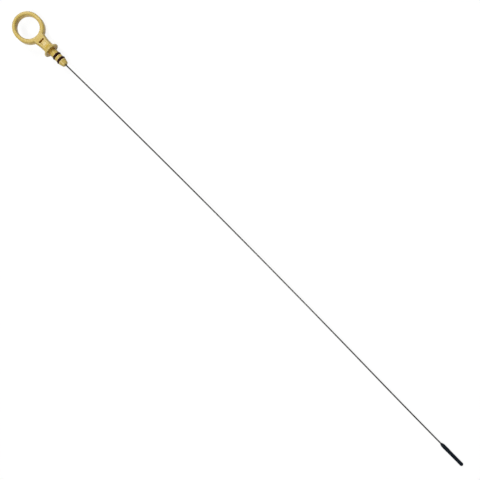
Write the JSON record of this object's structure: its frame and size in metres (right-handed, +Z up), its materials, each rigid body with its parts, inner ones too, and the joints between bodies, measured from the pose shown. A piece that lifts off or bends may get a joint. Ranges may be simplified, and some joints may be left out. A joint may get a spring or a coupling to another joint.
{
  "type": "engine oil dipstick",
  "caption": "Engine oil dipstick lying on a bench: moulded finger-ring handle with a flanged, sealed plug, a long springy wire and a moulded gauge tip with level marks.",
  "frame": {"origin": "centre of the flange's underside, on the plug's axis, where the flange rests on the mouth of the dipstick tube", "axes": "+X along the stick towards the gauge tip, +Z up as the stick lies on a bench, +Y to the side on which the finger ring's edge touches the bench; the plug's own axis dips 0.77 degrees below +X and the ring's plane is rolled 19.9 degrees about it"},
  "size_m": [0.6954, 0.0336, 0.0187],
  "materials": {
    "handle_nylon": "satin moulded, straw yellow",
    "seal_rubber": "oiled matte rubber",
    "spring_wire": "drawn bright steel",
    "tip_nylon": "fine matte moulded, blue-black"
  },
  "bodies": {
    "root": {"handle": "handle_nylon", "upper_seal_ring": "seal_rubber", "lower_seal_ring": "seal_rubber", "wire": "spring_wire", "gauge_tip": "tip_nylon"}
  },
  "joints": []
}
